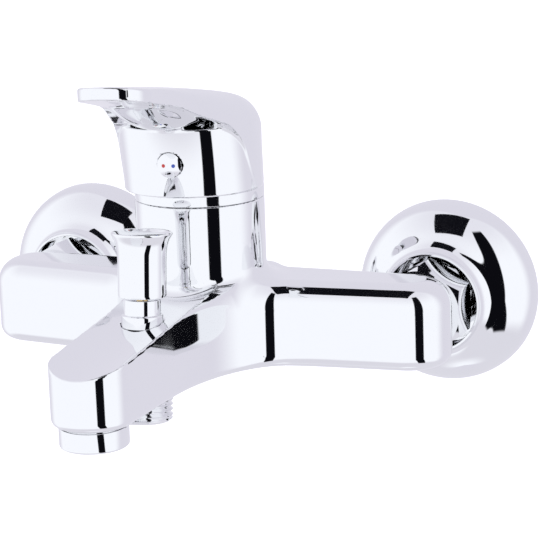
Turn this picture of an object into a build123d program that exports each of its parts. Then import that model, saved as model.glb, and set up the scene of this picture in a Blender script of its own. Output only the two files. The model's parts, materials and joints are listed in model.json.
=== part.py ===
from build123d import *
from math import atan, cos, degrees, radians, sin, sqrt, tan
import os

# Wall mounted single-lever bath mixer: two eccentric wall unions, a cast body with a 35 mm cartridge,
# a pull-up bath/shower diverter, a hose outlet and an aerator. Millimetres.
# Origin: on the finished wall, midway between the two inlet axes. +X to the right for a person facing
# the wall, +Y into the wall, +Z up. The room is on the -Y side.

# driving dimensions: inlets and wall unions
INLET_SPACING = 150.0
ECCENTRIC = 8.0              # drop of each wall thread below the body's inlet axis
G_HALF_R = 10.4775           # G 1/2 major radius
G_3Q_R = 13.2205             # G 3/4 major radius
WALL_THREAD_LENGTH = 16.0
ESCUTCHEON_R = 35.0
NUT_FLATS = 30.0             # across the flats of the union nuts
NUT_SPAN = (22.6, 38.6)      # distances of the nut's ends from the wall
UNION_FRONT = 31.0           # distance of the wall union's sealing face from the wall
BODY_BACK = 38.8             # distance of the body's spotfaces from the wall

# driving dimensions: body
COLUMN_Y = -63.3             # axis of the column, the cartridge and the lever
COLUMN_R = 23.6
COLUMN_TOP = 44.9
BODY_HALF_HEIGHT = 15.5
ARM_END_R = 15.9             # rounding of each arm's end, about an upright axis
ARM_END_Y = -51.2
ARM_SWEEP = 6.2              # degrees by which each arm's front face runs back towards its end
SPOUT_HALF_WIDTH = 14.0
NOSE_Y = -154.4              # axis of the nose and the aerator
NOSE_BOTTOM = -14.2
DECK_AT_COLUMN = 15.5        # height of the spout's top edges where they meet the column
DECK_AT_NOSE = 8.0
DECK_DISH_R = 40.0           # hollow of the spout's top face
DECK_JOIN = 3.0              # how far inside the column's face the deck reaches its full height

# driving dimensions: diverter and hose outlet, on one axis that leans towards the wall
VALVE_TILT = 5.0
VALVE_Y = -115.8             # where the axis crosses the height of the inlets
PISTON_Z = -14.6             # underside of the diverter's valve disc at rest
HOSE_THREAD = (-24.0, -16.4)  # span of the hose thread along that axis

# driving dimensions: cartridge
CARTRIDGE_R = 17.5
SEAT_Z = 5.0                 # floor of the cartridge chamber
DISC_Z = 13.5                # sliding plane of the two ceramic discs
SHOULDER_Z = 32.0
STEM_PIVOT_Z = 38.0
FOOT_Z = 20.5                # centre of the stem's ball foot, in the disc carrier
DISC_OFFSET = 3.2            # moving disc sits back by this when the lever is closed

# driving dimensions: lever, built facing the room and then swung by its rest angle
LEVER_REST_SWING = 7.0       # degrees the lever stands to the right of centre
LEVER_LIFT = 20.0
LEVER_RIM_Z = 49.8
LEVER_REACH = 96.0           # from the column axis to the tip
CAP_R = 24.9
BUTTON_Z = 62.0

INLET_X = INLET_SPACING / 2
COLUMN = (0, COLUMN_Y)
THREAD_GAP = 0.08            # radial play between engaged threads, drawn as plain cylinders


def rod(r, z0, z1, at=(0, 0)):
    """Upright cylinder from z0 to z1."""
    return Pos(at[0], at[1], z0) * Cylinder(r, z1 - z0, align=(Align.CENTER, Align.CENTER, Align.MIN))


def tube(r_out, r_in, z0, z1, at=(0, 0)):
    return rod(r_out, z0, z1, at) - rod(r_in, z0 - 1, z1 + 1, at)


def slab(x0, x1, y0, y1, z0, z1):
    return Pos((x0 + x1) / 2, (y0 + y1) / 2, (z0 + z1) / 2) * Box(x1 - x0, y1 - y0, z1 - z0)


def hexagon(flats, z0, z1):
    return Pos(0, 0, z0) * extrude(RegularPolygon(flats / 2, 6, major_radius=False), z1 - z0)


def turned(points):
    """Turn an (r, z) outline about the Z axis."""
    return revolve(make_face(Polyline(*[(r, 0, z) for r, z in points], close=True)), axis=Axis.Z)


def to_wall(shape, side, drop=0.0):
    """Place a shape built up +Z from the wall plane so that its +Z points into the room."""
    return Pos(side * INLET_X, 0, -drop) * Rot(90, 0, 0) * shape


def on_valve_axis(shape):
    return Pos(0, VALVE_Y, 0) * Rot(-VALVE_TILT, 0, 0) * shape


def on_lever(shape):
    """Lever frame (x across, y towards the tip, z up) to the body, at the rest swing."""
    return Pos(0, COLUMN_Y, 0) * Rot(0, 0, 180 + LEVER_REST_SWING) * shape


def softened(shape, edges, radii):
    """Fillet with the first of the radii that the solid takes."""
    for radius in radii:
        try:
            rounded = fillet(edges, radius)
        except Exception:
            continue
        if rounded.is_valid and len(rounded.solids()) == 1:
            return rounded
    return shape


# ---------------------------------------------------------------- cast body

def arms():
    """Both arms in one pillow-shaped bar that sweeps back a little to round ends over the inlets."""
    turn = radians(ARM_SWEEP)
    meet_x = INLET_X + ARM_END_R * sin(turn)
    meet_y = ARM_END_Y - ARM_END_R * cos(turn)
    front = meet_y - meet_x * tan(turn)
    back = ARM_END_Y + ARM_END_R
    half = [
        Line((0, back), (0, front)),
        Line((0, front), (meet_x, meet_y)),
        ThreePointArc((meet_x, meet_y), (INLET_X + ARM_END_R, ARM_END_Y), (INLET_X, back)),
        Line((INLET_X, back), (0, back)),
    ]
    face = make_face(half)
    bar = extrude(face + mirror(face, about=Plane.YZ), BODY_HALF_HEIGHT, both=True)
    return softened(bar, bar.faces().filter_by(Axis.Z).edges(), (9.0, 8.0, 6.5, 5.0))


def shoulders():
    """Webs that widen the spout towards the arms on both sides."""
    w = SPOUT_HALF_WIDTH
    flare = Spline((w, -116), (16.6, -96), (22.4, -82), (33, -72.2), tangents=[(0, 1), (1, 0.3)])
    face = make_face([flare, Polyline((33, -72.2), (33, COLUMN_Y), (w, COLUMN_Y), (w, -116))])
    web = extrude(face, BODY_HALF_HEIGHT - 0.6, both=True) - above_deck()
    return web + mirror(web, about=Plane.YZ)


def deck_slope():
    return (DECK_AT_COLUMN - DECK_AT_NOSE) / (COLUMN_Y - COLUMN_R + DECK_JOIN - NOSE_Y)


def above_deck():
    """The space over the spout: its top face falls forwards and is hollowed across."""
    axis_height = sqrt(DECK_DISH_R ** 2 - SPOUT_HALF_WIDTH ** 2)
    length = 240.0
    hollow = Pos(0, 0, axis_height) * Rot(90, 0, 0) * Cylinder(DECK_DISH_R, length)
    space = Pos(0, 0, 30) * Box(80, length, 60) + hollow
    return Pos(0, NOSE_Y, DECK_AT_NOSE) * Rot(degrees(atan(deck_slope())), 0, 0) * space


def spout():
    """Straight spout with a half-round nose."""
    w = SPOUT_HALF_WIDTH
    outline = [
        Line((-w, COLUMN_Y), (-w, NOSE_Y)),
        ThreePointArc((-w, NOSE_Y), (0, NOSE_Y - w), (w, NOSE_Y)),
        Line((w, NOSE_Y), (w, COLUMN_Y)),
        Line((w, COLUMN_Y), (-w, COLUMN_Y)),
    ]
    block = Pos(0, 0, -BODY_HALF_HEIGHT) * extrude(make_face(outline), 40)
    block -= above_deck()
    rise = degrees(atan((NOSE_BOTTOM + BODY_HALF_HEIGHT) / (COLUMN_Y - NOSE_Y)))
    block -= Pos(0, COLUMN_Y, -BODY_HALF_HEIGHT) * Rot(-rise, 0, 0) * Pos(0, -60, -20) * Box(60, 200, 40)
    bottom = block.faces().sort_by(Axis.Z)[0]
    return softened(block, bottom.edges(), (2.5, 2.0, 1.5, 1.0))


def waterways():
    """Passages and chambers cut out of the casting."""
    cut = rod(CARTRIDGE_R + 0.15, SEAT_Z, SHOULDER_Z, COLUMN)
    cut += rod(20.0, SHOULDER_Z - 3, COLUMN_TOP + 1, COLUMN)
    for side in (-1, 1):
        cut += Pos(side * 42, ARM_END_Y - 1, -4) * Rot(0, 90, 0) * Cylinder(5.5, 69)
        cut += rod(3.2, -5, SEAT_Z + 1, (side * 8, COLUMN_Y + 7.5))
        inlet = rod(18.2, 20, BODY_BACK) + rod(G_HALF_R, BODY_BACK - 1, 49) + rod(7.0, 48, 54)
        cut += to_wall(inlet, side)
    channel = Pos(0, (COLUMN_Y - 7 + NOSE_Y) / 2, -5) * Rot(90, 0, 0) * Cylinder(5.0, COLUMN_Y - 7 - NOSE_Y)
    cut += channel + rod(3.6, -5, SEAT_Z + 1, (0, COLUMN_Y - 9))
    cut += rod(10.6, NOSE_BOTTOM - 1, -2.0, (0, NOSE_Y))
    cut += on_valve_axis(rod(5.5, -40, 40) + rod(9.0, -40, -9.0) + rod(7.4, 8.6, 30))
    return cut


def body_casting():
    column = rod(COLUMN_R, -BODY_HALF_HEIGHT, COLUMN_TOP, COLUMN)
    return column + arms() + spout() + shoulders() - waterways()


# ---------------------------------------------------------------- inlets

def inlet_collar(side):
    """Threaded tail screwed into the arm; its flange keeps the union nut on the body."""
    washer_front = UNION_FRONT + 2.0
    flange = rod(12.4, washer_front, washer_front + 2.2)
    shape = rod(G_HALF_R - THREAD_GAP, BODY_BACK, 48) + rod(9.6, washer_front + 2, BODY_BACK + 0.5) + flange
    return to_wall(shape - rod(7.0, UNION_FRONT, 49), side)


def union_nut(side):
    """G 3/4 hexagon nut, free to turn on the collar until it is tightened."""
    near, far = NUT_SPAN
    bevels = [(0, near), (15.4, near), (17.4, near + 1.6), (17.4, far - 1.6), (15.4, far), (0, far)]
    hexa = Rot(0, 0, 90) * hexagon(NUT_FLATS, near, far) & turned(bevels)
    web = UNION_FRONT + 4.3
    hexa -= rod(G_3Q_R + THREAD_GAP, near - 1, web) + rod(9.9, web - 1, far + 1)
    return to_wall(hexa, side)


def union_washer(side):
    return to_wall(tube(12.4, 7.5, UNION_FRONT, UNION_FRONT + 2.0), side)


def wall_union(side):
    """Eccentric union: G 3/4 towards the body, G 1/2 into the wall, dropped by the eccentricity."""
    front = rod(G_3Q_R, 6, UNION_FRONT)
    tail = rod(G_HALF_R, -WALL_THREAD_LENGTH, 0, (0, -ECCENTRIC))
    web = loft([Pos(0, 0, 6) * Circle(12.6), Pos(0, -ECCENTRIC, 0) * Circle(G_HALF_R)])
    shape = front + tail + web
    bore = rod(8.0, 7, UNION_FRONT + 1) + rod(7.0, -WALL_THREAD_LENGTH - 1, -1, (0, -ECCENTRIC))
    bore += loft([Pos(0, 0, 7) * Circle(8.0), Pos(0, -ECCENTRIC, -1) * Circle(7.0)])
    return to_wall(shape - bore, side)


def escutcheon(side):
    """Pressed cover: a bell that ends in a neck round the union nut, with a web on the G 3/4 thread."""
    r = ESCUTCHEON_R
    thread_r = G_3Q_R + THREAD_GAP
    outer = [(r, 0), (r - 0.2, 3.2), (r - 1.1, 6.8), (r - 3.5, 11.0), (r - 6.5, 14.2), (r - 9.5, 16.6),
             (r - 12.0, 18.2), (r - 14.0, 19.7), (r - 15.2, 21.4), (r - 15.9, 23.4), (r - 16.1, 25.0)]
    web = [(r - 17.1, 25.0), (r - 17.1, 12.5), (thread_r, 12.5), (thread_r, 9.0)]
    inner = [(r - 16.2, 9.0), (r - 15.0, 17.2), (r - 12.6, 16.7), (r - 10.1, 15.2), (r - 7.4, 12.9),
             (r - 4.7, 9.9), (r - 2.4, 6.2), (r - 1.6, 3.0), (r - 1.4, 0)]
    return to_wall(turned(outer + web + inner), side)


# ---------------------------------------------------------------- cartridge

def port_holes(r, z0, z1):
    """The two supply ports and the mixed-water port."""
    holes = rod(r, z0, z1, (0, COLUMN_Y - 9))
    for side in (-1, 1):
        holes += rod(r, z0, z1, (side * 8, COLUMN_Y + 7.5))
    return holes


def port_seals():
    rings = [tube(4.9, 3.3, SEAT_Z, SEAT_Z + 1.8, at) for at in
             ((0, COLUMN_Y - 9), (-8, COLUMN_Y + 7.5), (8, COLUMN_Y + 7.5))]
    return Compound(children=rings)


def cartridge_base():
    base = rod(CARTRIDGE_R, SEAT_Z, DISC_Z - 3.5, COLUMN)
    return base - port_holes(4.9, SEAT_Z - 1, SEAT_Z + 1.8) - port_holes(3.0, SEAT_Z, DISC_Z)


def fixed_ceramic_disc():
    return rod(15.0, DISC_Z - 3.5, DISC_Z, COLUMN) - port_holes(3.0, DISC_Z - 5, DISC_Z + 1)


def moving_ceramic_disc():
    disc = rod(12.2, DISC_Z, DISC_Z + 3.5)
    disc -= Pos(0, 1.0, DISC_Z) * extrude(SlotOverall(17.0, 8.0), 1.8, both=True)
    return on_lever(Pos(0, -DISC_OFFSET, 0) * disc)


def disc_carrier():
    carrier = rod(12.2, DISC_Z + 3.5, DISC_Z + 7.5)
    return on_lever(Pos(0, -DISC_OFFSET, 0) * carrier - rod(2.75, FOOT_Z - 2.8, DISC_Z + 9))


def cartridge_housing():
    shape = rod(CARTRIDGE_R, DISC_Z - 3.5, SHOULDER_Z, COLUMN) + rod(13.2, SHOULDER_Z, 40, COLUMN)
    return shape - rod(15.6, DISC_Z - 4, SHOULDER_Z - 4, COLUMN) - rod(11.3, SHOULDER_Z - 5, 41, COLUMN)


def stem_guide():
    """Turntable that swings with the lever and holds the stem's pivot pin."""
    guide = rod(14.8, DISC_Z + 8.2, SHOULDER_Z - 4.3) + rod(11.0, SHOULDER_Z - 5, 43)
    guide -= slab(-4.5, 4.5, -8.0, 9.0, 20, 44)
    guide -= Pos(0, 0, STEM_PIVOT_Z) * Rot(0, 90, 0) * Cylinder(1.5, 30)
    return on_lever(guide)


def stem_pivot_pin():
    return on_lever(Pos(0, 0, STEM_PIVOT_Z) * Rot(0, 90, 0) * Cylinder(1.47, 21.0))


def cartridge_stem():
    """Square stem above the pivot, round shank and ball foot below it."""
    stem = slab(-4, 4, -4, 4, 33.5, 66.0) + rod(2.0, FOOT_Z, 34)
    stem += Pos(0, 0, FOOT_Z) * Sphere(2.6)
    stem -= Pos(0, 0, STEM_PIVOT_Z) * Rot(0, 90, 0) * Cylinder(1.53, 12)
    stem -= Pos(0, 4, BUTTON_Z) * Rot(90, 0, 0) * Cone(2.4, 0, 2.4)
    return on_lever(stem)


def cartridge_nut():
    """Brass ring nut that clamps the cartridge's shoulder."""
    nut = rod(20.0 - THREAD_GAP, SHOULDER_Z, 42.5) + hexagon(32.0, 42.0, 46.5)
    return Pos(0, COLUMN_Y, 0) * (nut - rod(13.6, SHOULDER_Z - 1, 48))


def cover_ring():
    """Trim ring on top of the column, with a low dome that shows in the lever's rear relief."""
    outline = [(COLUMN_R, COLUMN_TOP), (COLUMN_R, 48.4), (COLUMN_R - 0.7, 49.1), (18.4, 49.1), (17.6, 51.0),
               (16.0, 53.0), (14.8, 53.0), (14.8, 46.5), (18.6, 46.5), (18.6, COLUMN_TOP - 2.0),
               (19.9, COLUMN_TOP - 2.0), (19.9, COLUMN_TOP)]
    return Pos(0, COLUMN_Y, 0) * turned(outline)


# ---------------------------------------------------------------- lever

CAP_LEAN = [(LEVER_RIM_Z - 4, 5.6), (LEVER_RIM_Z, 6.0), (BUTTON_Z, 8.2), (73.0, 11.0), (98.0, 14.0)]


def cap_loft(r):
    """The cap leans towards the tip as it rises."""
    return loft([Pos(0, lean, z) * Circle(r) for z, lean in CAP_LEAN])


def lever_side():
    """Side outline of the lever in the y-z plane: gently arched top, underside falling to the cap."""
    tip = LEVER_REACH
    top = Spline((-19.5, 66), (-16.5, 74.5), (-5, 80), (20, 86.8), (60, 93.0), (tip, 97.8))
    under = Spline((tip, 95.0), (tip - 10, 92.2), (66, 83.6), (36, 75.2))
    foot = Polyline((36, 75.2), (36, 40), (-19.5, 40), (-19.5, 66))
    return [top, Line((tip, 97.8), (tip, 95.0)), under, foot]


def lever_plan(tip_r, root_half_width):
    """Plan outline from the cap to the round tip."""
    centre = LEVER_REACH - tip_r
    return make_face([
        Line((-root_half_width, 0), (root_half_width, 0)),
        Spline((root_half_width, 0), (tip_r + 2.6, 55), (tip_r, centre), tangents=[(0, 1), (-0.06, 1)]),
        ThreePointArc((tip_r, centre), (0, LEVER_REACH), (-tip_r, centre)),
        Spline((-tip_r, centre), (-tip_r - 2.6, 55), (-root_half_width, 0), tangents=[(-0.06, -1), (0, -1)]),
    ])


def lever_handle():
    profile = Plane.YZ * make_face(lever_side())
    blank = extrude(profile, 30, both=True)
    tongue = extrude(lever_plan(12.0, 24.0), 120) & blank
    under_wing = Spline((LEVER_REACH + 1, 93.8), (60, 87.0), (20, 74.0))
    below = Polyline((20, 74), (20, 40), (LEVER_REACH + 1, 40), (LEVER_REACH + 1, 93.8))
    wing_space = Plane.YZ * make_face([under_wing, below])
    keel = extrude(lever_plan(8.0, 10.0), 120)
    tongue -= extrude(wing_space, 30, both=True) - keel + slab(-30, 30, -30, 60, 30, 74.0)
    cap = cap_loft(CAP_R) & blank
    shape = cap + tongue
    cavity = cap_loft(CAP_R - 2.8) & slab(-30, 30, -30, 40, 40, 69.5)
    pocket = Pos(0, button_face() + 8.6, BUTTON_Z) * Rot(90, 0, 0) * Cylinder(4.45, 20)
    shape -= cavity - rod(8.0, 51.0, 70.0)
    relief = Pos(0, 2, LEVER_RIM_Z) * Rot(-LEVER_LIFT, 0, 0) * Pos(0, -30, -15) * Box(70, 60, 30)
    shape -= relief + slab(-40, 40, -40, 60, 30, LEVER_RIM_Z)
    shape -= slab(-4.05, 4.05, -4.05, 4.05, 45, 66.1)
    screw_hole = Pos(0, 20, BUTTON_Z) * Rot(90, 0, 0) * Cylinder(2.5 + THREAD_GAP, 34)
    return on_lever(shape.solids().sort_by(SortBy.VOLUME)[-1] - screw_hole - pocket)


def lever_set_screw():
    screw = Rot(-90, 0, 0) * (rod(2.5, 4.0, 12.0) - hexagon(2.5, 9.5, 13))
    return on_lever(Pos(0, 0, BUTTON_Z) * screw)


def button_face():
    """Where the front of the cap stands at the button's height."""
    return CAP_R + 8.2


def index_button():
    """Small domed plug over the set screw."""
    face = button_face()
    dome = Pos(0, face - 6.6, 0) * Rot(-90, 0, 0) * (Sphere(8.4) & rod(4.35, 5.3, 12))
    shank = Rot(-90, 0, 0) * rod(2.4, face - 4.5, face)
    plug = Pos(0, 0, BUTTON_Z) * (dome + shank)
    return on_lever(plug) - index_dot(-1) - index_dot(1)


def index_dot(side):
    """Enamel dot let into the button: red on the hot side, blue on the cold side."""
    face = button_face()
    core = Pos(side * 1.8, face + 1.1, BUTTON_Z) * Rot(-90, 0, 0) * Cylinder(0.65, 2.4)
    ball = Pos(0, face - 6.6, BUTTON_Z) * Sphere(8.45)
    return on_lever(core & ball)


# ---------------------------------------------------------------- diverter

def diverter_bonnet():
    """Screwed guide of the diverter: a base ring on the deck and a plain neck."""
    shape = rod(5.4, 2.0, 12) + rod(7.3, 8.6, 13.0) + rod(6.4, 12, 18.5)
    return on_valve_axis(shape - rod(2.1, 0, 20))


def diverter_stem():
    return on_valve_axis(rod(2.0, PISTON_Z, 26.0))


def diverter_stem_seal():
    return on_valve_axis(tube(4.6, 2.05, -0.6, 1.8))


def diverter_knob():
    """Pull knob with a flared, dished head."""
    outline = [(0, 19.3), (8.4, 19.3), (8.5, 34.5), (8.9, 37.4), (10.0, 39.6), (10.6, 40.8), (10.4, 41.6),
               (9.0, 41.2), (6.0, 40.2), (0, 39.8)]
    return on_valve_axis(turned(outline) - rod(2.03, 18, 26))


def diverter_spring():
    """Return spring between the stem seal and the valve disc."""
    turns, wire_r = 6, 0.35
    low, high = PISTON_Z + 1.8 + wire_r, -0.7 - wire_r
    coil = Helix((high - low) / turns, high - low, 3.1)
    spring = sweep(Plane(origin=coil @ 0, z_dir=coil % 0) * Circle(wire_r), path=coil)
    return on_valve_axis(Pos(0, 0, low) * spring)


def diverter_piston():
    """Brass valve disc that closes the bath outlet when the knob is pulled up."""
    return on_valve_axis(rod(4.4, PISTON_Z, PISTON_Z + 1.8) - rod(2.0, PISTON_Z - 1, PISTON_Z + 3))


def hose_nipple():
    """G 1/2 male outlet for the shower hose, pressed into the underside of the spout."""
    low, high = HOSE_THREAD
    shape = rod(G_HALF_R, low, high) + rod(8.9, high - 0.5, -9.2)
    shape -= rod(6.5, low - 1, -8.5)
    return on_valve_axis(shape)


# ---------------------------------------------------------------- aerator

def aerator_housing():
    shape = rod(10.5, NOSE_BOTTOM - 1, -4.0, (0, NOSE_Y)) + rod(11.7, -21.6, NOSE_BOTTOM - 0.4, (0, NOSE_Y))
    return shape - rod(9.6, -20.4, -3, (0, NOSE_Y)) - rod(8.6, -22, -20, (0, NOSE_Y))


def aerator_insert():
    insert = rod(9.4, -19.6, -6.0, (0, NOSE_Y)) - rod(7.4, -20, -9.0, (0, NOSE_Y))
    return insert - rod(3.0, -10, -5, (0, NOSE_Y))


def aerator_screen():
    return rod(9.4, -20.4, -19.7, (0, NOSE_Y))


def aerator_washer():
    return tube(10.5, 7.0, -4.0, -2.0, (0, NOSE_Y))


PARTS = {
    "body_casting": body_casting,
    "cartridge_port_seals": port_seals,
    "cartridge_base": cartridge_base,
    "fixed_ceramic_disc": fixed_ceramic_disc,
    "moving_ceramic_disc": moving_ceramic_disc,
    "disc_carrier": disc_carrier,
    "cartridge_housing": cartridge_housing,
    "stem_guide": stem_guide,
    "stem_pivot_pin": stem_pivot_pin,
    "cartridge_stem": cartridge_stem,
    "cartridge_nut": cartridge_nut,
    "cover_ring": cover_ring,
    "lever_handle": lever_handle,
    "lever_set_screw": lever_set_screw,
    "index_button": index_button,
    "hot_index_dot": lambda: index_dot(1),
    "cold_index_dot": lambda: index_dot(-1),
    "diverter_bonnet": diverter_bonnet,
    "diverter_stem": diverter_stem,
    "diverter_stem_seal": diverter_stem_seal,
    "diverter_knob": diverter_knob,
    "diverter_spring": diverter_spring,
    "diverter_piston": diverter_piston,
    "hose_nipple": hose_nipple,
    "aerator_housing": aerator_housing,
    "aerator_insert": aerator_insert,
    "aerator_screen": aerator_screen,
    "aerator_washer": aerator_washer,
}
SIDED_PARTS = {
    "inlet_collar": inlet_collar,
    "union_nut": union_nut,
    "union_washer": union_washer,
    "wall_union": wall_union,
    "escutcheon": escutcheon,
}

os.makedirs("parts", exist_ok=True)
for name, make in PARTS.items():
    export_step(make(), f"parts/{name}.step")
for name, make in SIDED_PARTS.items():
    for side_name, side in (("left", -1), ("right", 1)):
        export_step(make(side), f"parts/{side_name}_{name}.step")
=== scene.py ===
import bpy
import json
import math
import numpy as np
from mathutils import Matrix, Vector


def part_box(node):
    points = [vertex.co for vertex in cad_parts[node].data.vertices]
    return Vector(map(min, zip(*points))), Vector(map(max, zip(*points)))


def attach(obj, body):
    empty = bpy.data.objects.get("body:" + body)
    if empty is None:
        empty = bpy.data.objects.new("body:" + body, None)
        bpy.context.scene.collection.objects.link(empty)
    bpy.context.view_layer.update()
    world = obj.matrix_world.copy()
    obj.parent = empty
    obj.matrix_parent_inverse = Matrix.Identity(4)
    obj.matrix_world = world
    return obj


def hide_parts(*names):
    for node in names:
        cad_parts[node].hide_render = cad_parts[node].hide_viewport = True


# Wall mounted bath mixer. Shapes are written in millimetres in the row frame and scaled to metres as meshes.
# +X right, +Y into the wall, +Z up.
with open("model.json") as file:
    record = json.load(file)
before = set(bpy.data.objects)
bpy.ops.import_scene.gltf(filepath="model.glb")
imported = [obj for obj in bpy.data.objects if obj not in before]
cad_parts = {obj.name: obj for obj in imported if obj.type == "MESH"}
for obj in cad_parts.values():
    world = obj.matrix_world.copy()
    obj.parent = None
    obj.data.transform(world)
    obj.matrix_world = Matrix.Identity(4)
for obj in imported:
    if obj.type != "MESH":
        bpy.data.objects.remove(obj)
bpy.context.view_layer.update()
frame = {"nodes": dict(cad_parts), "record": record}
MM = 0.001


def node_box(node):
    """A CAD node's lowest and highest corner in millimetres."""
    low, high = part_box(node)
    return np.array(low) / MM, np.array(high) / MM


# ---------------------------------------------------------------- measures taken from the frame

ring_low, ring_high = node_box("cover_ring")
COLUMN_Y = (ring_low[1] + ring_high[1]) / 2
COLUMN_R = (ring_high[0] - ring_low[0]) / 2
COLUMN_TOP = 44.9
body_low, body_high = node_box("body_casting")
HALF_HEIGHT = -body_low[2]
aerator_low, aerator_high = node_box("aerator_housing")
NOSE_Y = (aerator_low[1] + aerator_high[1]) / 2
NOSE_R = NOSE_Y - body_low[1]
cover_low, cover_high = node_box("right_escutcheon")
COVER_R = (cover_high[0] - cover_low[0]) / 2
INLET_X = (cover_low[0] + cover_high[0]) / 2
ARM_END_R = body_high[0] - INLET_X
ARM_END_Y = body_high[1] - ARM_END_R
lever_low, lever_high = node_box("lever_handle")
LEVER_RIM_Z = lever_low[2]


# ---------------------------------------------------------------- materials

def node_material(name, colour, metallic, roughness, spread, bump, scale, coat=0.0):
    """Principled material with fine roughness variation and bump made from noise."""
    material = bpy.data.materials.new(name)
    material.use_nodes = True
    nodes, links = material.node_tree.nodes, material.node_tree.links
    shader = nodes["Principled BSDF"]
    shader.inputs["Base Color"].default_value = (*colour, 1)
    shader.inputs["Metallic"].default_value = metallic
    shader.inputs["Coat Weight"].default_value = coat
    place = nodes.new("ShaderNodeTexCoord")
    noise = nodes.new("ShaderNodeTexNoise")
    noise.inputs["Scale"].default_value = scale
    noise.inputs["Detail"].default_value = 4.0
    links.new(place.outputs["Object"], noise.inputs["Vector"])
    ramp = nodes.new("ShaderNodeMapRange")
    ramp.inputs["From Min"].default_value = 0.3
    ramp.inputs["From Max"].default_value = 0.7
    ramp.inputs["To Min"].default_value = roughness - spread
    ramp.inputs["To Max"].default_value = roughness + spread
    links.new(noise.outputs["Fac"], ramp.inputs["Value"])
    links.new(ramp.outputs["Result"], shader.inputs["Roughness"])
    relief = nodes.new("ShaderNodeBump")
    relief.inputs["Strength"].default_value = bump
    relief.inputs["Distance"].default_value = 0.0001
    links.new(noise.outputs["Fac"], relief.inputs["Height"])
    links.new(relief.outputs["Normal"], shader.inputs["Normal"])
    return material


MATERIALS = {
    "chrome": node_material("polished_chrome", (0.87, 0.875, 0.89), 1.0, 0.045, 0.02, 0.02, 60.0),
    "brass": node_material("machined_brass", (0.78, 0.58, 0.28), 1.0, 0.28, 0.06, 0.2, 900.0),
    "rubber": node_material("black_rubber", (0.03, 0.03, 0.033), 0.0, 0.7, 0.08, 0.3, 700.0),
    "cartridge_plastic": node_material("moulded_plastic", (0.78, 0.78, 0.76), 0.0, 0.45, 0.06, 0.2, 500.0),
    "ceramic": node_material("lapped_ceramic", (0.9, 0.89, 0.86), 0.0, 0.22, 0.04, 0.05, 700.0, 0.3),
    "steel": node_material("bright_steel", (0.6, 0.61, 0.63), 1.0, 0.24, 0.06, 0.2, 900.0),
    "aerator_plastic": node_material("aerator_plastic", (0.82, 0.83, 0.85), 0.0, 0.4, 0.05, 0.2, 500.0),
    "red_enamel": node_material("red_enamel", (0.55, 0.02, 0.015), 0.0, 0.14, 0.03, 0.05, 700.0, 0.6),
    "blue_enamel": node_material("blue_enamel", (0.02, 0.07, 0.42), 0.0, 0.14, 0.03, 0.05, 700.0, 0.6),
}
for part in frame["record"]["subparts"]:
    mesh = frame["nodes"][part["node"]].data
    mesh.materials.clear()
    mesh.materials.append(MATERIALS[part["material_slot"]])


# ---------------------------------------------------------------- shape fields
# A field is negative inside the metal and close to a distance near its surface.

def round_union(a, b, r):
    """Union of two fields with a concave fillet of radius r."""
    u = np.maximum(r - a, 0)
    v = np.maximum(r - b, 0)
    return np.maximum(r, np.minimum(a, b)) - np.sqrt(u * u + v * v)


def flared_union(a, b, reach_a, reach_b):
    """Union with an elliptic concave fillet that reaches reach_a out of a's face and reach_b out of b's."""
    u = np.maximum(1 - a / reach_a, 0)
    v = np.maximum(1 - b / reach_b, 0)
    size = np.sqrt(u * u + v * v)
    slope = np.sqrt((u / reach_a) ** 2 + (v / reach_b) ** 2)
    blend = (1 - size) * size / np.maximum(slope, 1e-9)
    return np.where(size > 1e-6, blend, np.minimum(a, b))


def round_meet(a, b, r):
    """Intersection of two fields with a convex rounding of radius r."""
    return -round_union(-a, -b, r)


def step(x, low, high):
    """Smooth step from 0 at low to 1 at high."""
    t = np.clip((x - low) / (high - low), 0, 1)
    return t * t * (3 - 2 * t)


def disc(x, y, r):
    return np.sqrt(x * x + y * y) - r


def spline(points):
    """Natural cubic curve through (input, output) points, continued as straight lines."""
    x, y = np.array(sorted(points), float).T
    n, h = len(x), np.diff(x)
    system, right = np.eye(n), np.zeros(n)
    for i in range(1, n - 1):
        system[i, i - 1:i + 2] = h[i - 1], 2 * (h[i - 1] + h[i]), h[i]
        right[i] = 6 * ((y[i + 1] - y[i]) / h[i] - (y[i] - y[i - 1]) / h[i - 1])
    bend = np.linalg.solve(system, right)

    def value(t):
        i = np.clip(np.searchsorted(x, t) - 1, 0, n - 2)
        inside = np.clip(t, x[0], x[-1])
        a, b = x[i + 1] - inside, inside - x[i]
        cubic = (bend[i] * a ** 3 + bend[i + 1] * b ** 3) / (6 * h[i])
        line = (y[i] / h[i] - bend[i] * h[i] / 6) * a + (y[i + 1] / h[i] - bend[i + 1] * h[i] / 6) * b
        first = (y[1] - y[0]) / h[0] - bend[1] * h[0] / 6
        last = (y[-1] - y[-2]) / h[-1] + bend[-2] * h[-1] / 6
        return cubic + line + first * np.minimum(t - x[0], 0) + last * np.maximum(t - x[-1], 0)
    return value


def gradient(field, points, reach=0.02):
    """Central differences of a field at points (n, 3)."""
    slopes = []
    for axis in range(3):
        shift = np.zeros(3)
        shift[axis] = reach
        ahead, behind = (points + shift).T, (points - shift).T
        slopes.append((field(*ahead) - field(*behind)) / (2 * reach))
    return np.stack(slopes, -1)


def settle(field, points, limit, rounds=5):
    """Move points onto the field's zero surface."""
    for _ in range(rounds):
        slope = gradient(field, points)
        move = field(*points.T)[:, None] * slope / np.maximum((slope ** 2).sum(-1, keepdims=True), 1e-3)
        length = np.linalg.norm(move, axis=-1, keepdims=True)
        points = points - move * np.minimum(1, limit / np.maximum(length, 1e-9))
    return points


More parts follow.
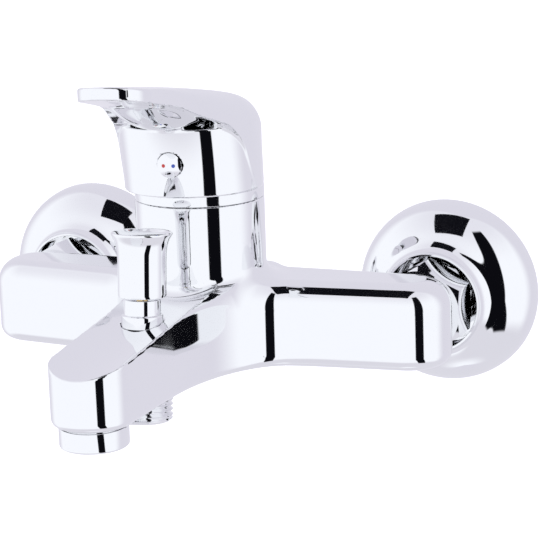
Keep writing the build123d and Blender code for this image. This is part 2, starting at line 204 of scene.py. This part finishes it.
def relax(points, quads, amount):
    """Move each point towards the mean of its neighbours."""
    total, count = np.zeros_like(points), np.zeros(len(points))
    for k in range(4):
        a, b = quads[:, k], quads[:, (k + 1) % 4]
        for i, j in ((a, b), (b, a)):
            for axis in range(3):
                total[:, axis] += np.bincount(i, points[j, axis], len(points))
            count += np.bincount(i, minlength=len(points))
    return points + amount * (total / np.maximum(count, 1)[:, None] - points)


def skin(field, low, high, cell):
    """Quads over a field's zero surface: one point in each grid cell the surface crosses, settled onto it."""
    low = np.array(low, float)
    shape = np.ceil((np.array(high) - low) / cell).astype(int) + 1
    axes = [low[k] + cell * np.arange(shape[k]) for k in range(3)]
    values = np.empty(shape, np.float32)
    for i in range(0, shape[0], 24):
        grid = np.meshgrid(axes[0][i:i + 24], axes[1], axes[2], indexing="ij")
        values[i:i + 24] = field(*[g.ravel() for g in grid]).reshape(grid[0].shape)
    inside = values < 0
    corners = [(i, j, k) for i in (0, 1) for j in (0, 1) for k in (0, 1)]

    def shifted(array, offset):
        return array[tuple(slice(o, n - 1 + o) for o, n in zip(offset, shape))]

    count = sum(shifted(inside, c).astype(np.int8) for c in corners)
    cells = np.argwhere((count > 0) & (count < 8))
    number = np.full(shape - 1, -1, np.int32)
    number[tuple(cells.T)] = np.arange(len(cells))
    total, hits = np.zeros((len(cells), 3)), np.zeros(len(cells))
    for a in corners:
        for axis in range(3):
            if a[axis]:
                continue
            b = list(a)
            b[axis] = 1
            va, vb = (values[tuple((cells + c).T)].astype(float) for c in (a, b))
            crossed = (va < 0) != (vb < 0)
            t = np.where(crossed, va / np.where(crossed, va - vb, 1), 0)
            point = np.array(a, float) + t[:, None] * (np.array(b) - np.array(a))
            total += point * crossed[:, None]
            hits += crossed
    points = low + (cells + total / hits[:, None]) * cell
    quads = []
    for axis in range(3):
        u, v = (axis + 1) % 3, (axis + 2) % 3
        ahead = [slice(1, -1)] * 3
        ahead[axis] = slice(0, -1)
        behind = [slice(1, -1)] * 3
        behind[axis] = slice(1, None)
        first, second = inside[tuple(ahead)], inside[tuple(behind)]
        place = np.argwhere(first != second)
        filled = first[tuple(place.T)]
        place[:, u] += 1
        place[:, v] += 1
        ring = []
        for du, dv in ((1, 1), (0, 1), (0, 0), (1, 0)):
            at = place.copy()
            at[:, u] -= du
            at[:, v] -= dv
            ring.append(number[tuple(at.T)])
        quad = np.stack(ring, -1)
        quad[~filled] = quad[~filled][:, ::-1]
        quads.append(quad)
    quads = np.concatenate(quads)
    points = settle(field, points, cell / 2)
    for _ in range(2):
        points = settle(field, relax(points, quads, 0.5), cell / 2, 3)
    return points, quads


def add_mesh(name, points, faces, body, nodes, slot, normals=None, sharp=None):
    """Make a piece from points in millimetres that rides on a body and stands for CAD nodes."""
    mesh = bpy.data.meshes.new(name)
    mesh.from_pydata((np.asarray(points) * MM).tolist(), [], [list(map(int, f)) for f in faces])
    mesh.validate()
    mesh.polygons.foreach_set("use_smooth", [True] * len(mesh.polygons))
    if sharp is not None:
        mesh.set_sharp_from_angle(angle=math.radians(sharp))
    if normals is not None:
        mesh.normals_split_custom_set_from_vertices(normals.tolist())
    piece = bpy.data.objects.new(name, mesh)
    bpy.context.scene.collection.objects.link(piece)
    mesh.materials.append(MATERIALS[slot])
    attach(piece, body)
    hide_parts(*nodes)
    return piece


def field_piece(name, field, low, high, cell, body, nodes, slot, place=None):
    """A piece skinned from a field; place moves points and normals from the field's axes to the row frame."""
    points, quads = skin(field, low, high, cell)
    normals = gradient(field, points)
    normals /= np.maximum(np.linalg.norm(normals, axis=-1, keepdims=True), 1e-9)
    if place is not None:
        turn, origin = place
        points, normals = points @ turn.T + origin, normals @ turn.T
    return add_mesh(name, points, quads, body, nodes, slot, normals)


# ---------------------------------------------------------------- body casting

ARM_SWEEP = math.radians(6.2)
ARM_ROUNDING = 9.5
DECK_DISH_R = 40.0
DECK_AT_NOSE = 8.0
DECK_AT_COLUMN = HALF_HEIGHT
NOSE_BOTTOM = -14.2
VALVE_TILT = math.radians(5.0)
VALVE_Y = -115.8
BASE_RING_R = 7.3
BASE_RING_FOOT = 8.6
BODY_BACK = 38.8
COLUMN_FOOT = -3.0
COLUMN_EDGE_R = 0.35
FLARE_ALONG_ARM = 22.9
FLARE_ALONG_SPOUT = 45.8
DECK_EDGE_R = 0.7
BOTTOM_EDGE_R = 2.5
BOTTOM_EDGE_GAIN = 2.5
COLUMN_FILLET = 4.0
COLUMN_FILLET_GAIN = 5.0
CHAMBER_R = 17.65
CHAMBER_FLOOR = 5.0
NUT_BORE_R = 20.0
NUT_BORE_FLOOR = 29.0
GUIDE_PLAY = 0.12
STEM_BORE_R = 5.5
HOSE_BORE_R = 9.1
HOSE_BORE_TOP = -9.0
AERATOR_BORE_R = 10.65
AERATOR_BORE_TOP = -2.0
COLLAR_BORE_R = 18.2
INLET_BORE_R = 10.6
INLET_BORE_END = 49.0
BODY_CELL = 0.75


def arm_plan(x, y):
    """Both arms from above, swept back to round ends over the inlets. x is the distance from the middle."""
    across, back = x - INLET_X, y - ARM_END_Y
    along = across * math.cos(ARM_SWEEP) + back * math.sin(ARM_SWEEP)
    front = across * math.sin(ARM_SWEEP) - back * math.cos(ARM_SWEEP) - ARM_END_R
    bar = np.maximum(np.where(along > 0, -ARM_END_R, front), back - ARM_END_R)
    end = np.where((back < 0) & (along <= 0), front, disc(across, back, ARM_END_R))
    return np.where(across < 0, bar, end)


def spout_plan(x, y):
    ahead = np.minimum(y - NOSE_Y, 0)
    return np.maximum(disc(x, ahead, NOSE_R), y - COLUMN_Y + 5)


def above_spout(x, y, z):
    """The space over the spout: a dished deck between two crisp edges, with shoulders falling away outside."""
    slope = (DECK_AT_COLUMN - DECK_AT_NOSE) / (COLUMN_Y - COLUMN_R + 3 - NOSE_Y)
    rise = z - np.minimum(DECK_AT_NOSE + slope * (y - NOSE_Y), DECK_AT_COLUMN)
    across = np.minimum(x, NOSE_R)
    deck = rise - math.sqrt(DECK_DISH_R ** 2 - NOSE_R ** 2) + np.sqrt(DECK_DISH_R ** 2 - across ** 2)
    fall = 1.0 - step(y, -130, -76)
    return np.maximum(deck, (rise + fall * (x - NOSE_R)) / np.hypot(1, fall))


def valve_axis(x, y, z):
    """Distance from the diverter's axis and height along it."""
    along = (y - VALVE_Y) * math.sin(VALVE_TILT) + z * math.cos(VALVE_TILT)
    side = (y - VALVE_Y) * math.cos(VALVE_TILT) - z * math.sin(VALVE_TILT)
    return np.sqrt(x * x + side * side), along


def body_field(x, y, z):
    x = abs(x)
    column = disc(x, y - COLUMN_Y, COLUMN_R)
    rise = (HALF_HEIGHT + NOSE_BOTTOM) / (COLUMN_Y - NOSE_Y)
    bottom = -HALF_HEIGHT + rise * np.maximum(COLUMN_Y - y, 0) - z
    plan = flared_union(spout_plan(x, y), arm_plan(x, y), FLARE_ALONG_ARM, FLARE_ALONG_SPOUT)
    top_edge = DECK_EDGE_R + (ARM_ROUNDING - DECK_EDGE_R) * step(x, 15, 26)
    lower = round_meet(plan, above_spout(x, y, z), top_edge)
    lower = round_meet(lower, bottom, BOTTOM_EDGE_R + BOTTOM_EDGE_GAIN * step(x, 8, 50))
    tall = round_meet(np.maximum(column, COLUMN_FOOT - z), z - COLUMN_TOP, COLUMN_EDGE_R)
    solid = round_union(lower, tall, COLUMN_FILLET + COLUMN_FILLET_GAIN * step(x, 14, 34))
    return np.maximum(solid, -body_hollows(x, y, z))


def body_hollows(x, y, z):
    """Cartridge chamber, valve bores, aerator recess and inlet threads."""
    column = np.sqrt(x * x + (y - COLUMN_Y) ** 2)
    hollow = np.maximum(column - CHAMBER_R, CHAMBER_FLOOR - z)
    hollow = np.minimum(hollow, np.maximum(column - NUT_BORE_R, NUT_BORE_FLOOR - z))
    radius, along = valve_axis(x, y, z)
    hollow = np.minimum(hollow, np.maximum(radius - BASE_RING_R - GUIDE_PLAY, BASE_RING_FOOT - along))
    hollow = np.minimum(hollow, radius - STEM_BORE_R)
    hollow = np.minimum(hollow, np.maximum(radius - HOSE_BORE_R, along - HOSE_BORE_TOP))
    hollow = np.minimum(hollow, np.maximum(disc(x, y - NOSE_Y, AERATOR_BORE_R), z - AERATOR_BORE_TOP))
    inlet = np.sqrt((x - INLET_X) ** 2 + z * z)
    hollow = np.minimum(hollow, np.maximum(inlet - COLLAR_BORE_R, -BODY_BACK - y))
    return np.minimum(hollow, np.maximum(inlet - INLET_BORE_R, -INLET_BORE_END - y))


def body_piece():
    margin = 2.0
    low, high = body_low - margin, body_high + margin
    return field_piece("faucet_body", body_field, low, high, BODY_CELL, "fixed", ["body_casting"], "chrome")


# ---------------------------------------------------------------- lever
# Lever axes: u towards the tip, v to the right of it, z up, from the column's axis.

LEVER_SWING = math.radians(7.0)
CAP_R = 24.9
LEVER_TIP = 96.6
TIP_R = 12.2
CAP_TOP = 74.6
RELIEF = math.radians(20.0)
PLATE_EDGE_R = 0.8
PLATE_FOOT_R = 0.45
RIB_START = 4.0
RIB_END = 93.0
RIB_POWER = 1.8
DISH_DEPTH = 2.6
CAP_WALL = 2.8
ROOM_TOP = 69.5
BOSS_R = 8.0
BOSS_FOOT = 51.0
SOCKET_HALF = 4.08
SOCKET_TOP = 66.2
SCREW_HOLE_R = 2.6
BUTTON_HOLE_R = 4.5
BUTTON_SEAT = 1.4
LEVER_CELL = 0.6

lever_top = spline([(-19, 71.5), (-12, 77.5), (-5, 80.2), (5, 83.2), (20, 86.8), (40, 90.2), (69, 94.3),
                    (96, 97.9)])
plate_foot = spline([(0, 66.5), (25, 74.0), (37, 78.0), (50, 82.3), (57, 84.9), (70, 88.2), (82, 90.7),
                     (97, 93.9)])
half_width = spline([(6, 24.9), (20, 23.2), (35, 20.0), (47, 16.9), (60, 14.2), (74, 12.6),
                     (LEVER_TIP - TIP_R, TIP_R)])
crease = spline([(49, 10.0), (57, 14.0), (66, 18.5), (76, 24.0)])
keel_foot = spline([(26, 73.4), (35, 74.6), (48, 76.6), (58, 79.4), (67, 83.6), (76, 88.2), (86, 91.6),
                    (92, 93.6)])
keel_width = spline([(26, 13.0), (45, 12.4), (60, 11.2), (70, 9.8), (80, 7.6), (92, 4.0)])


def lean(z):
    """How far the cap's section has moved towards the tip at height z."""
    rise = z - LEVER_RIM_Z
    return 6.0 + 0.13 * rise + 0.0035 * rise * abs(rise)


def hood_field(u, v, z):
    """The lever's top: wraps the back of the cap and runs out to a flat plate with a round tip."""
    width = half_width(np.clip(u, 6, LEVER_TIP - TIP_R))
    plan = np.where(u < 6, disc(u - 6, v, CAP_R), v - width)
    plan = np.where(u > LEVER_TIP - TIP_R, disc(u - LEVER_TIP + TIP_R, v, TIP_R), plan)
    spread = np.minimum(v / np.maximum(width, 1), 1.2)
    crown = (0.5 + 2.0 * (1 - step(u, 20, 80))) * spread ** 2
    top = (z - lever_top(u) + crown) * 0.97
    shape = round_meet(plan, top, PLATE_EDGE_R + 7.5 * (1 - step(u, 18, 74)))
    foot = round_union((plate_foot(u) - z) * 0.95, (u - crease(z)) * 0.9, 7.0)
    return round_meet(shape, foot, PLATE_FOOT_R)


def keel_field(u, v, z):
    """Rounded rib under the plate."""
    width = np.maximum(keel_width(u), 1.0)
    middle = plate_foot(u) + 1.8
    depth = np.maximum(middle - keel_foot(u), 0.6)
    below = np.maximum(middle - z, 0)
    section = ((v / width) ** RIB_POWER + (below / depth) ** RIB_POWER) ** (1 / RIB_POWER) - 1
    body = section * np.minimum(width, depth)
    return np.maximum(np.maximum(body, z - lever_top(u) + 1.0), np.maximum(u - RIB_END, RIB_START - u))


def cap_field(u, v, z):
    """Leaning round cap with a dished top that shows beside the keel."""
    wall = disc(u - lean(z), v, CAP_R)
    dish = CAP_TOP - DISH_DEPTH * step(-wall, 0.8, 7.0)
    return round_meet(wall, (z - dish) * 0.95, 0.7)


def lever_field(u, v, z):
    across, v = v, abs(v)
    keel = keel_field(u, v, z)
    plate = round_union(hood_field(u, v, z), keel, 1.2)
    solid = round_union(plate, cap_field(u, v, z), 1.0)
    rim = LEVER_RIM_Z - z
    relief = (LEVER_RIM_Z + (2 - u) * math.tan(RELIEF) - z) * math.cos(RELIEF)
    solid = round_meet(solid, np.maximum(rim, relief), 0.5)
    return np.maximum(solid, -lever_hollows(u, across, z))


def lever_hollows(u, v, z):
    """Room for the cartridge under the cap, the stem's square socket, the set screw and the button."""
    room = np.maximum(disc(u - lean(z), v, CAP_R - CAP_WALL), z - ROOM_TOP)
    boss = np.maximum(disc(u, v, BOSS_R), BOSS_FOOT - z)
    hollow = np.maximum(room, -boss)
    hollow = np.minimum(hollow, np.maximum(np.maximum(abs(u), abs(v)) - SOCKET_HALF, z - SOCKET_TOP))
    button = np.sqrt(v * v + (z - BUTTON_Z) ** 2)
    hollow = np.minimum(hollow, np.maximum(button - SCREW_HOLE_R, -u))
    return np.minimum(hollow, np.maximum(button - BUTTON_HOLE_R, BUTTON_FACE - BUTTON_SEAT - u))


button_low, button_high = node_box("index_button")
BUTTON_Z = (button_low[2] + button_high[2]) / 2
BUTTON_FACE = CAP_R + 8.1


def lever_place():
    """Turn and origin from lever axes to the row frame."""
    s, c = math.sin(LEVER_SWING), math.cos(LEVER_SWING)
    return np.array([[s, c, 0], [-c, s, 0], [0, 0, 1]]), np.array([0, COLUMN_Y, 0])


def lever_piece():
    low, high = (-22, -27, LEVER_RIM_Z - 2), (LEVER_TIP + 2, 27, 101)
    return field_piece("lever", lever_field, low, high, LEVER_CELL, "lever", ["lever_handle"], "chrome",
                       lever_place())


# ---------------------------------------------------------------- turned pieces

TURN = np.linspace(0, 2 * math.pi, 128, endpoint=False)


def rounded(corners):
    """Closed outline of (r, z, corner radius) as points, with each corner drawn as an arc."""
    points = []
    count = len(corners)
    for i, (r, z, radius) in enumerate(corners):
        here = np.array([r, z], float)
        to_last = np.array(corners[i - 1][:2]) - here
        to_next = np.array(corners[(i + 1) % count][:2]) - here
        to_last, to_next = to_last / np.linalg.norm(to_last), to_next / np.linalg.norm(to_next)
        if radius == 0:
            points.append(here)
            continue
        half = math.acos(np.clip(to_last @ to_next, -1, 1)) / 2
        back = radius / math.tan(half)
        middle = here + (to_last + to_next) / np.linalg.norm(to_last + to_next) * radius / math.sin(half)
        start, end = here + to_last * back - middle, here + to_next * back - middle
        turn = math.atan2(start[0] * end[1] - start[1] * end[0], start @ end)
        steps = max(2, round(abs(turn) / math.radians(9)))
        for k in range(steps + 1):
            a = turn * k / steps
            c, s = math.cos(a), math.sin(a)
            points.append(middle + np.array([c * start[0] - s * start[1], s * start[0] + c * start[1]]))
    return np.array(points)


def flowing(points, steps=6):
    """Smooth curve through (r, z) points, sampled between them."""
    points = np.array(points, float)
    along = np.concatenate([[0], np.cumsum(np.linalg.norm(np.diff(points, axis=0), axis=1))])
    r, z = spline(list(zip(along, points[:, 0]))), spline(list(zip(along, points[:, 1])))
    t = np.linspace(0, along[-1], steps * (len(points) - 1) + 1)
    return np.stack([r(t), z(t)], -1)


def no_groove(r, z, angle):
    return 0 * angle


def turned(outline, shift=lambda z: (0, 0), groove=no_groove):
    """Closed outline turned about Z. shift moves each ring sideways; groove cuts into it by angle."""
    rings = []
    for r, z in outline:
        x, y = shift(z)
        radius = r - groove(r, z, TURN)
        rings.append(np.stack([x + radius * np.cos(TURN), y + radius * np.sin(TURN), z + 0 * TURN], -1))
    points = np.concatenate(rings)
    n, m = len(outline), len(TURN)
    i, j = np.meshgrid(np.arange(n), np.arange(m), indexing="ij")
    a, b = i * m + j, i * m + (j + 1) % m
    c, d = (i + 1) % n * m + (j + 1) % m, (i + 1) % n * m + j
    return points, np.stack([a, b, c, d], -1).reshape(-1, 4)


def facing_out(points, faces):
    """Turn the faces round if the closed mesh is inside out."""
    corners = points[faces]
    volume = np.einsum("ij,ij->", corners[:, 0], np.cross(corners[:, 1], corners[:, 2]))
    volume += np.einsum("ij,ij->", corners[:, 0], np.cross(corners[:, 2], corners[:, 3]))
    return faces if volume > 0 else faces[:, ::-1]


def turned_piece(name, outline, place, body, nodes, slot, **options):
    turn, origin = place
    points, faces = turned(outline, **options)
    points = points @ np.array(turn).T + np.array(origin)
    return add_mesh(name, points, facing_out(points, faces), body, nodes, slot, sharp=32)


UPRIGHT = np.eye(3)
TO_ROOM = np.array([[1, 0, 0], [0, 0, -1], [0, 1, 0]])
VALVE_TURN = np.array([[1, 0, 0], [0, math.cos(VALVE_TILT), math.sin(VALVE_TILT)],
                       [0, -math.sin(VALVE_TILT), math.cos(VALVE_TILT)]])
ON_VALVE = (VALVE_TURN, (0, VALVE_Y, 0))
ON_NOSE = (UPRIGHT, (0, NOSE_Y, 0))
SIDES = (("left", -1), ("right", 1))
G_HALF_R = 10.4775
G_THREE_QUARTER_R = 13.2205
THREAD_PITCH = 1.814
THREAD_DEPTH = 1.1


def thread(pitch, depth, start, end, major):
    """Helical groove between two heights on a surface of the major radius, fading out at both ends."""
    def groove(r, z, angle):
        turn = (z / pitch + angle / (2 * math.pi)) % 1.0
        cut = depth * np.clip(1.2 * (1 - abs(2 * turn - 1)) - 0.1, 0, 1)
        run = min(max((z - start) / pitch, 0), 1) * min(max((end - z) / pitch, 0), 1)
        return cut * run * (abs(r - major) < 0.01)
    return groove


def wall_cover(side_name, side):
    """Pressed cover: a bell that flares from the wall up to a neck round the union nut."""
    r = COVER_R
    bell = flowing([(r, 1.0), (r - 0.2, 3.2), (r - 1.1, 6.8), (r - 3.5, 11.0), (r - 6.5, 14.2), (r - 9.5, 16.6),
                    (r - 12, 18.2), (r - 14, 19.7), (r - 15.2, 21.4), (r - 15.9, 23.4), (r - 16.1, 24.7)])
    lip = [(r - 16.25, 25.0), (r - 16.95, 25.0), (r - 17.1, 24.7)]
    inside = [(r - 17.1, 12.5), (13.3, 12.5), (13.3, 9.0), (r - 16.2, 9.0), (r - 15.0, 17.2), (r - 12.6, 16.7),
              (r - 10.1, 15.2), (r - 7.4, 12.9), (r - 4.7, 9.9), (r - 2.4, 6.2), (r - 1.6, 3.0), (r - 1.4, 0.0)]
    outline = np.concatenate([bell, lip, inside, [(r - 0.5, 0.0), (r - 0.15, 0.3)]])
    place = (TO_ROOM, (side * INLET_X, 0, 0))
    turned_piece(f"{side_name}_wall_cover", outline, place, "fixed", [f"{side_name}_escutcheon"], "chrome")


def eccentric_union(side_name, side):
    """Threaded union that steps down from the body's inlet to the wall thread."""
    major, minor, drop, front = G_THREE_QUARTER_R, G_HALF_R, 8.0, 31.0
    outer = [(major - 1.2, front), (major, front - 1.2)]
    outer += [(major, z) for z in np.arange(front - 1.4, 6.0, -0.3)] + [(12.6, 5.8)]
    outer += [(12.6 - 2.12 * step(t, 0, 1), 5.8 * (1 - t)) for t in np.linspace(0.15, 0.99, 7)]
    outer += [(minor, z) for z in np.arange(-0.2, -15.4, -0.3)] + [(minor - 1.0, -16.0)]
    bore = [(7.0, -16.0), (7.0, -1.0), (8.0, 7.0), (8.0, front)]
    big = thread(THREAD_PITCH, THREAD_DEPTH, 7.0, front, major)
    small = thread(THREAD_PITCH, THREAD_DEPTH, -16.0, -1.0, minor)
    turned_piece(f"{side_name}_union", outer + bore, (TO_ROOM, (side * INLET_X, 0, 0)), "fixed",
                 [f"{side_name}_wall_union"], "chrome",
                 shift=lambda z: (0, -drop * (1 - step(z, 0.0, 6.0))),
                 groove=lambda r, z, angle: big(r, z, angle) + small(r, z, angle))


def diverter_knob_piece():
    """Pull knob: plain barrel that flares to a thin rim round a shallow dish."""
    barrel = [(2.05, 26.0), (2.05, 19.3), (5.0, 19.3), (8.0, 19.3), (8.32, 19.45), (8.42, 19.9)]
    flare = flowing([(8.45, 20.6), (8.45, 27), (8.5, 33), (8.75, 36.2), (9.4, 38.6), (10.25, 40.3),
                     (10.55, 40.9)])
    rim = [(10.62, 41.2), (10.55, 41.5), (10.3, 41.62), (10.0, 41.55)]
    dish = flowing([(9.85, 41.4), (8.8, 40.4), (7.0, 39.7), (4.0, 39.2), (1.2, 39.05)])
    outline = np.concatenate([barrel, flare, rim, dish, [(0.02, 39.0), (0.02, 26.0)]])
    turned_piece("diverter_pull_knob", outline, ON_VALVE, "diverter", ["diverter_knob"], "chrome")


def bonnet_piece():
    """Screwed guide: base ring on the deck, a short groove and a plain neck."""
    outline = rounded([(2.1, 2.0, 0), (5.4, 2.0, 0.2), (5.4, 8.6, 0), (7.3, 8.6, 0.2), (7.3, 12.9, 0.7),
                       (6.45, 13.2, 0.15), (6.4, 18.5, 0.4), (2.1, 18.5, 0)])
    turned_piece("diverter_guide", outline, ON_VALVE, "fixed", ["diverter_bonnet"], "chrome")


def hose_outlet_piece():
    """Male outlet with a real helical thread, a chamfered end and its bore."""
    major, low, high = G_HALF_R, -24.0, -16.4
    outer = [(9.4, low), (major, low + 0.9)] + [(major, z) for z in np.arange(low + 1.1, high, 0.22)]
    outer += [(major, high), (8.9, high + 0.3), (8.9, -9.2), (6.5, -9.2)]
    bore = [(6.5, low + 0.4), (6.9, low)]
    turned_piece("hose_outlet", outer + bore, ON_VALVE, "fixed", ["hose_nipple"], "chrome",
                 groove=thread(THREAD_PITCH, THREAD_DEPTH, low + 0.6, high + 0.4, major))


def aerator_piece():
    """Aerator housing with a softened lower edge and an inner lip."""
    top, low = aerator_high[2], aerator_low[2]
    r = (aerator_high[0] - aerator_low[0]) / 2
    outline = rounded([(9.6, top, 0), (10.5, top, 0.1), (10.5, -14.62, 0), (r, -14.62, 0.35), (r, low, 0.8),
                       (8.6, low, 0.5), (8.6, low + 1.2, 0.2), (9.6, low + 1.2, 0)])
    turned_piece("aerator_ring", outline, ON_NOSE, "fixed", ["aerator_housing"], "chrome")


def cover_ring_piece():
    """Trim ring on top of the column, with the low dome under the lever."""
    r = COLUMN_R
    outline = rounded([(r, 44.98, 0.3), (r, 49.1, 0.6), (18.4, 49.1, 0.5), (16.6, 53.0, 1.0), (14.8, 53.0, 0.2),
                       (14.8, 46.5, 0), (18.6, 46.5, 0), (18.6, 42.9, 0), (19.9, 42.9, 0), (19.9, 44.98, 0)])
    turned_piece("column_ring", outline, (UPRIGHT, (0, COLUMN_Y, 0)), "fixed", ["cover_ring"], "chrome")


body_piece()
lever_piece()
diverter_knob_piece()
bonnet_piece()
hose_outlet_piece()
aerator_piece()
cover_ring_piece()
for side_name, side in SIDES:
    wall_cover(side_name, side)
    eccentric_union(side_name, side)


# ---------------------------------------------------------------- studio

def camera_at(target, azimuth, elevation, distance, focal, roll):
    """Perspective camera aimed at target; azimuth 0 looks along +Y, angles in degrees."""
    a, e, r = (math.radians(v) for v in (azimuth, elevation, roll))
    back = Vector((math.sin(a) * math.cos(e), -math.cos(a) * math.cos(e), math.sin(e)))
    right = Vector((math.cos(a), math.sin(a), 0))
    up = back.cross(right)
    right, up = math.cos(r) * right + math.sin(r) * up, -math.sin(r) * right + math.cos(r) * up
    data = bpy.data.cameras.new("camera")
    data.sensor_width = 36.0
    data.lens = focal
    camera = bpy.data.objects.new("camera", data)
    bpy.context.scene.collection.objects.link(camera)
    turn = Matrix((right, up, back)).transposed().to_4x4()
    camera.matrix_world = Matrix.Translation(Vector(target) + back * distance) @ turn
    bpy.context.scene.camera = camera


camera_at((0.02826, -0.06, 0.01519), 22.378, 13.212, 0.72828, 129.89, -1.76)


def plain(name, colour, emission=0.0):
    material = bpy.data.materials.new(name)
    material.use_nodes = True
    shader = material.node_tree.nodes["Principled BSDF"]
    shader.inputs["Base Color"].default_value = (*colour, 1)
    shader.inputs["Roughness"].default_value = 0.9
    shader.inputs["Specular IOR Level"].default_value = 0.0
    shader.inputs["Emission Color"].default_value = (*colour, 1)
    shader.inputs["Emission Strength"].default_value = emission
    return material


def studio_plane(name, corners, material, seen=True):
    mesh = bpy.data.meshes.new(name)
    mesh.from_pydata([Vector(c) for c in corners], [], [list(range(len(corners)))])
    mesh.materials.append(material)
    plane = bpy.data.objects.new(name, mesh)
    bpy.context.scene.collection.objects.link(plane)
    plane.visible_camera = seen
    return plane


FLOOR_Z = -0.11
floor = studio_plane("studio_floor", [(x, y, FLOOR_Z) for x, y in ((-9, -9), (9, -9), (9, 9), (-9, 9))],
                     plain("floor_paper", (0.93, 0.93, 0.94), 0.5))
floor.visible_glossy = False
black = plain("black_card", (0.004, 0.004, 0.006))
overhead = [(x, y, 0.45) for x, y in ((-0.095, -0.315), (0.16, -0.315), (0.16, -0.005), (-0.095, -0.005))]
bar = studio_plane("overhead_bar", overhead, black, seen=False)
bar.visible_shadow = bar.visible_diffuse = False


class Sky:
    """The surrounding light by direction: azimuth 0 is the room side, 90 the right, elevation 90 is up."""

    def __init__(self, world):
        world.use_nodes = True
        self.nodes, self.links = world.node_tree.nodes, world.node_tree.links
        place = self.nodes.new("ShaderNodeTexCoord")
        split = self.nodes.new("ShaderNodeSeparateXYZ")
        self.links.new(place.outputs["Generated"], split.inputs[0])
        x, y, z = split.outputs
        degrees = 180 / math.pi
        self.azimuth = self.sum("MULTIPLY", self.sum("ARCTAN2", x, self.sum("MULTIPLY", y, -1)), degrees)
        self.elevation = self.sum("MULTIPLY", self.sum("ARCSINE", z), degrees)

    def put(self, value, socket):
        if isinstance(value, (int, float)):
            socket.default_value = value
        else:
            self.links.new(value, socket)

    def sum(self, operation, *values):
        node = self.nodes.new("ShaderNodeMath")
        node.operation = operation
        for value, socket in zip(values, node.inputs):
            self.put(value, socket)
        return node.outputs[0]

    def rise(self, value, low, high):
        """0 below low and 1 above high, or the other way round."""
        node = self.nodes.new("ShaderNodeMapRange")
        node.interpolation_type = "SMOOTHSTEP"
        self.put(value, node.inputs["Value"])
        if low > high:
            low, high = high, low
            node.inputs["To Min"].default_value, node.inputs["To Max"].default_value = 1.0, 0.0
        node.inputs["From Min"].default_value = low
        node.inputs["From Max"].default_value = high
        return node.outputs["Result"]

    def band(self, value, low, high, soft):
        inner = self.rise(value, low - soft, low + soft)
        return self.sum("MULTIPLY", inner, self.rise(value, high + soft, high - soft))

    def mix(self, amount, first, second):
        """Colour mix; colours are sockets or (r, g, b)."""
        node = self.nodes.new("ShaderNodeMix")
        node.data_type = "RGBA"
        self.put(amount, node.inputs["Factor"])
        for value, socket in ((first, node.inputs["A"]), (second, node.inputs["B"])):
            if isinstance(value, tuple):
                socket.default_value = (*value, 1)
            else:
                self.links.new(value, socket)
        return node.outputs["Result"]


WHITE = (1.06, 1.08, 1.13)
LAVENDER = (0.80, 0.785, 0.87)
FLOOR_GREY = (0.80, 0.79, 0.86)
BLACK = (0.004, 0.004, 0.006)
BEHIND = (95, 125)
OVERHEAD = (20, 70)
OVERHEAD_SHARE = 0.7
BELOW = (-80, -38)
STRIP_ACROSS = (36, 58)
STRIP_HEIGHT = (-43, 62)
STRIP_LEAN = 0.4
STRIP_LEAN_START = -13

world = bpy.data.worlds.new("studio")
bpy.context.scene.world = world
sky = Sky(world)
behind = sky.rise(sky.sum("ABSOLUTE", sky.azimuth), *BEHIND)
overhead = sky.sum("MULTIPLY", sky.rise(sky.elevation, *OVERHEAD), OVERHEAD_SHARE)
colour = sky.mix(sky.sum("MAXIMUM", behind, overhead), WHITE, LAVENDER)
colour = sky.mix(sky.band(sky.elevation, *BELOW, 8), colour, FLOOR_GREY)
# The dark strip stands upright and leans to the right below eye level.
drop = sky.sum("MINIMUM", sky.sum("SUBTRACT", sky.elevation, STRIP_LEAN_START), 0)
across = sky.sum("ADD", sky.azimuth, sky.sum("MULTIPLY", drop, STRIP_LEAN))
upright = sky.sum("MULTIPLY", sky.band(across, *STRIP_ACROSS, 0.8), sky.band(sky.elevation, *STRIP_HEIGHT, 2.0))
colour = sky.mix(upright, colour, BLACK)
light = sky.nodes["Background"]
sky.links.new(colour, light.inputs["Color"])
light.inputs["Strength"].default_value = 1.0
bpy.context.scene.view_settings.view_transform = "Standard"
